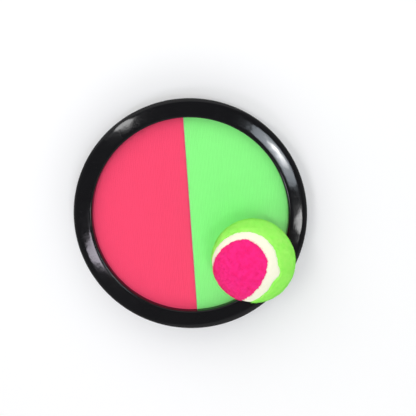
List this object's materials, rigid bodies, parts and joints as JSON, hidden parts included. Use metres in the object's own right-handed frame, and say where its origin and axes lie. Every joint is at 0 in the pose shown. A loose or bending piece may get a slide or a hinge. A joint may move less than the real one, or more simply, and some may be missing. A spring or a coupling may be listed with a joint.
{
  "type": "hook and loop catch paddle",
  "caption": "Round catch paddle with a two-colour hook fabric face in a glossy rim, a dished back with a hook and loop hand strap, and a felt ball that sticks to the face.",
  "frame": {"origin": "on the paddle's axis, in the plane of the flat foot of the back shell that it rests on", "axes": "+Z out of the catch face; +Y along the line where the two face colours meet, towards the top of the picture; +X towards the green half"},
  "size_m": [0.185, 0.185, 0.0872],
  "materials": {
    "rim_plastic": "glossy moulded black plastic with fine handling scratches",
    "shell_plastic": "matte textured black plastic",
    "foam": "closed-cell grey foam",
    "backing_sheet": "plain stiff sheet",
    "hook_fabric_red": "neon red-pink hook fabric with rows of small hooks",
    "hook_fabric_green": "neon green hook fabric with rows of small hooks",
    "screw_steel": "zinc plated",
    "webbing": "woven black nylon webbing",
    "hook_tape": "black hook tape, sewn on",
    "loop_tape": "black brushed loop tape, sewn on",
    "core_rubber": "plain moulded rubber",
    "felt_green": "fuzzy yellow-green felt",
    "felt_pink": "fuzzy hot-pink felt",
    "seam_rubber": "matte cream rubber seam with a slightly uneven edge"
  },
  "bodies": {
    "paddle": {"rim_ring": "rim_plastic", "back_shell": "shell_plastic", "foam_pad": "foam", "face_backing": "backing_sheet", "hook_face_red": "hook_fabric_red", "hook_face_green": "hook_fabric_green", "rim_screws": "screw_steel"},
    "ball": {"ball_core": "core_rubber", "ball_felt_green": "felt_green", "ball_felt_pink": "felt_pink", "ball_seam": "seam_rubber"},
    "strap_outer": {"strap_hook_end": "webbing", "strap_hook_patch": "hook_tape"},
    "strap_inner": {"strap_loop_end": "webbing", "strap_loop_patch": "loop_tape"}
  },
  "joints": [
    {"name": "ball_peel", "type": "slide", "parent": "paddle", "child": "ball", "axis": [0, 0, 1], "range_m": [0, 0.12]},
    {"name": "strap_open", "type": "hinge", "parent": "paddle", "child": "strap_outer", "pos_m": [0.056, 0, 0.01525], "axis": [0, -1, 0], "range_deg": [0, 110]},
    {"name": "strap_slack", "type": "hinge", "parent": "paddle", "child": "strap_inner", "pos_m": [-0.056, 0, 0.01525], "axis": [0, 1, 0], "range_deg": [0, 33]}
  ],
  "couplings": [
    {"joint": "strap_slack", "follows": "strap_open", "ratio": 0.3}
  ]
}
